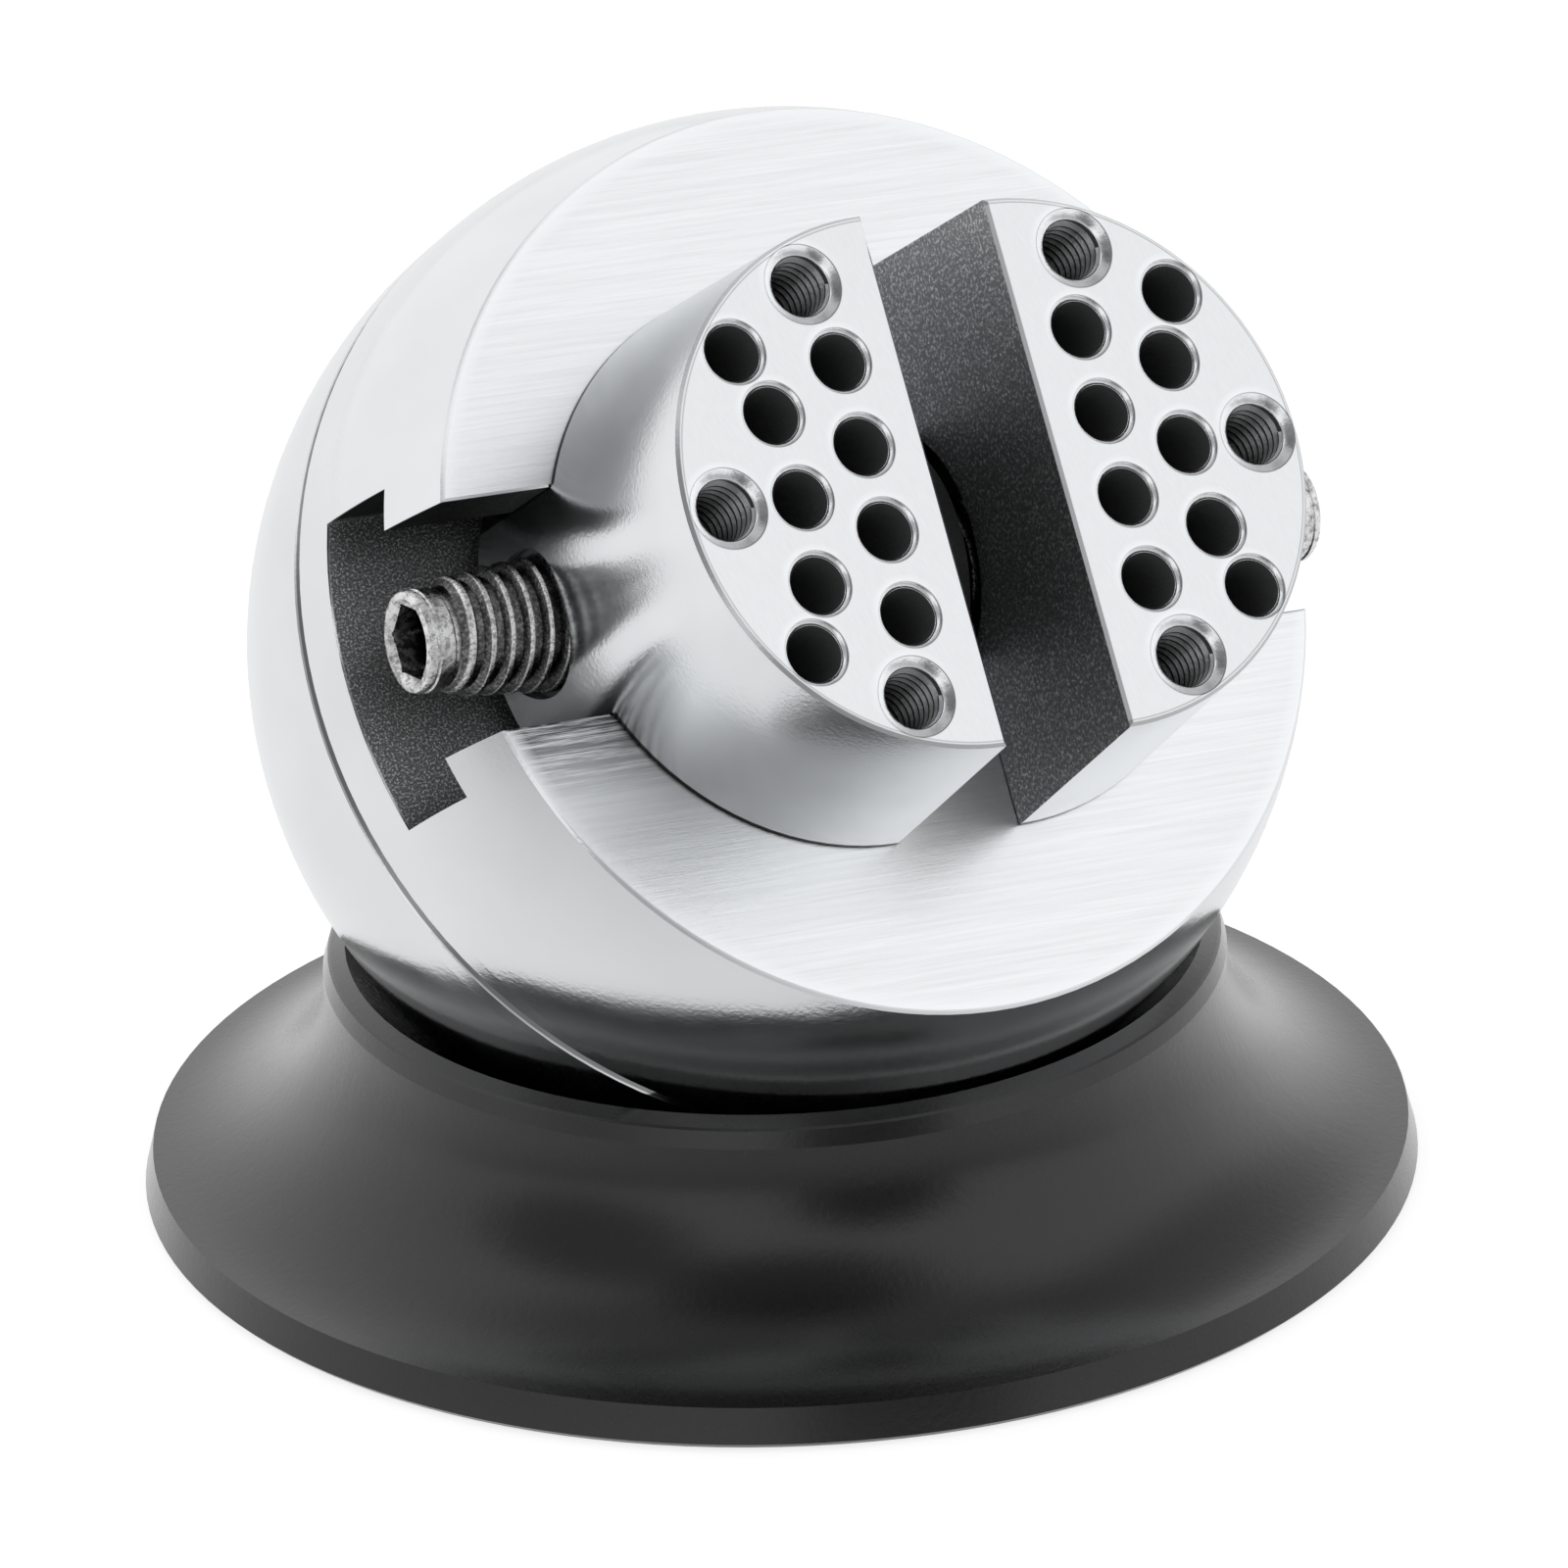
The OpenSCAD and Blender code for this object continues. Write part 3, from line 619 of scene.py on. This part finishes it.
def addTappedThreads():
    crest, wall, pitch = tapped["crest"], tapped["wall"], tapped["pitch"]
    low = -tapped["turns"] * pitch - tapped["start"]
    ridge = [(wall, low - 0.36), (crest + 0.03, low - 0.10), (crest, low), (crest + 0.03, low + 0.10), (wall, low + 0.36)]
    for side, jaw in ((-1, "left"), (1, "right")):
        parts = [placed(wound("thread", ridge, pitch, tapped["turns"], 48), place, materials["threadSteel"])
                 for place in jawSpots(side, jaws["taps"])]
        piece = joined("tappedThreads_" + jaw, parts)
        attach(piece, jaw + "_jaw")


# sections of the broken edge of a pin hole and of the countersink of a tapped hole
rims = {"pins": [(2.43, -0.005), (2.36, -0.035), (2.27, -0.105), (2.18, -0.21), (2.12, -0.33), (2.11, -0.50),
                 (2.16, -0.52), (2.40, -0.20)],
        "taps": [(2.97, -0.005), (2.90, -0.03), (2.60, -0.18), (2.38, -0.30), (2.30, -0.37), (2.26, -0.47),
                 (2.28, -0.60), (2.55, -0.80), (2.62, -0.50), (2.94, -0.20)]}


def addHoleRims():
    for side, jaw in ((-1, "left"), (1, "right")):
        parts = [placed(turned("rim", rims[kind], 64), place, materials["rimSteel"])
                 for kind in ("pins", "taps") for place in jawSpots(side, jaws[kind])]
        piece = joined("holeRims_" + jaw, parts)
        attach(piece, jaw + "_jaw")


addScrew()
addTappedThreads()
addHoleRims()
print("screw and threads cut")


# the metal mirrors the floor and the walls; front is the direction of the camera, where the paper is in shade
floorPaper = {"size": 6.0, "colour": (0.80, 0.80, 0.80), "glow": 0.78, "mirror": 0.62, "frontMirror": 0.15,
              "front": (-0.54, -0.84, 0.0), "shadeFrom": 0.02, "shadeTo": 0.16}


def addFloor():
    clearSelection()
    bpy.ops.mesh.primitive_plane_add(size=floorPaper["size"], location=(0, 0, -0.0002))
    floor = bpy.context.active_object
    floor.name = "floor"
    bpy.ops.object.transform_apply(location=True, rotation=True, scale=True)
    bench = Bench("floorPaper")
    seen = bench.node("ShaderNodeLightPath", out="Is Camera Ray")
    mirrored = bench.node("ShaderNodeLightPath", out="Is Glossy Ray")
    shade = bench.dot(bench.place(), floorPaper["front"]).rise(floorPaper["shadeFrom"], floorPaper["shadeTo"])
    mirror = bench.between(shade, floorPaper["mirror"], floorPaper["frontMirror"])
    paper = bench.node("ShaderNodeBsdfDiffuse", sockets={"Color": floorPaper["colour"]})
    glow = bench.node("ShaderNodeEmission", sockets={"Strength": seen * floorPaper["glow"] + mirrored * mirror})
    both = bench.node("ShaderNodeAddShader", sockets={0: paper, 1: glow})
    bench.tree.nodes.remove(bench.shader)
    bench.feed(next(n for n in bench.tree.nodes if n.type == "OUTPUT_MATERIAL").inputs["Surface"], both)
    floor.data.materials.append(bench.owner)


# a card is its direction, the cosines at which it starts and is full, and how light it is
walls = {"glow": 0.40, "ceiling": 0.50, "ceilingFrom": 0.80, "ceilingTo": 0.95,
         "cards": (((-0.20, -0.97, 0.10), 0.91, 0.985, 0.15),
                   ((-0.85, -0.12, 0.50), 0.86, 0.97, 0.40),
                   ((0.63, 0.16, 0.77), 0.82, 0.99, 0.50),
                   ((-0.27, -0.46, 0.84), 0.88, 0.98, 0.20))}


def addWalls():
    bench = Bench("studio", world=True)
    bpy.context.scene.world = bench.owner
    # full strength where the world is seen, mirrored or looked through, less where it lights
    rays = [bench.node("ShaderNodeLightPath", out="Is %s Ray" % kind) for kind in ("Camera", "Glossy", "Transmission")]
    shown = bench.lower(rays[0] + rays[1] + rays[2], 1.0)
    direction = bench.node("ShaderNodeTexCoord", out="Generated")
    # the ceiling is darker than the walls, and dark cards stand beside the camera
    overhead = bench.dot(direction, (0, 0, 1)).rise(walls["ceilingFrom"], walls["ceilingTo"], "SMOOTHSTEP")
    tone = bench.between(overhead, 1.0, walls["ceiling"])
    for card, low, high, light in walls["cards"]:
        onCard = bench.dot(direction, Vector(card).normalized()).rise(low, high, "SMOOTHSTEP")
        tone = tone * bench.between(onCard, 1.0, light)
    bench.feed(bench.shader.inputs["Color"], tone)
    bench.feed(bench.shader.inputs["Strength"], bench.between(shown, walls["glow"], 1.0))


lamps = {
    "keyLamp": {"place": (-0.8, -0.6, 1.2), "size": 1.3, "power": 1.3},
    "sideLamp": {"place": (1.1, -0.5, 0.8), "size": 1.3, "power": 1.2},
    "backLamp": {"place": (-0.2, 1.3, 0.7), "size": 1.4, "power": 1.8},
}


def addLamps():
    target = Vector((0, 0, 0.04))
    for name, lamp in lamps.items():
        data = bpy.data.lights.new(name, "AREA")
        data.shape, data.size, data.energy = "DISK", lamp["size"], lamp["power"]
        holder = bpy.data.objects.new(name, data)
        holder.location = lamp["place"]
        holder.rotation_euler = (target - Vector(lamp["place"])).to_track_quat("-Z", "Y").to_euler()
        # the metal mirrors the studio's walls and not the lamps
        holder.visible_glossy = False
        bpy.context.scene.collection.objects.link(holder)


addFloor()
addWalls()
addLamps()
bpy.context.scene.view_settings.view_transform = "Standard"
print("studio lit")
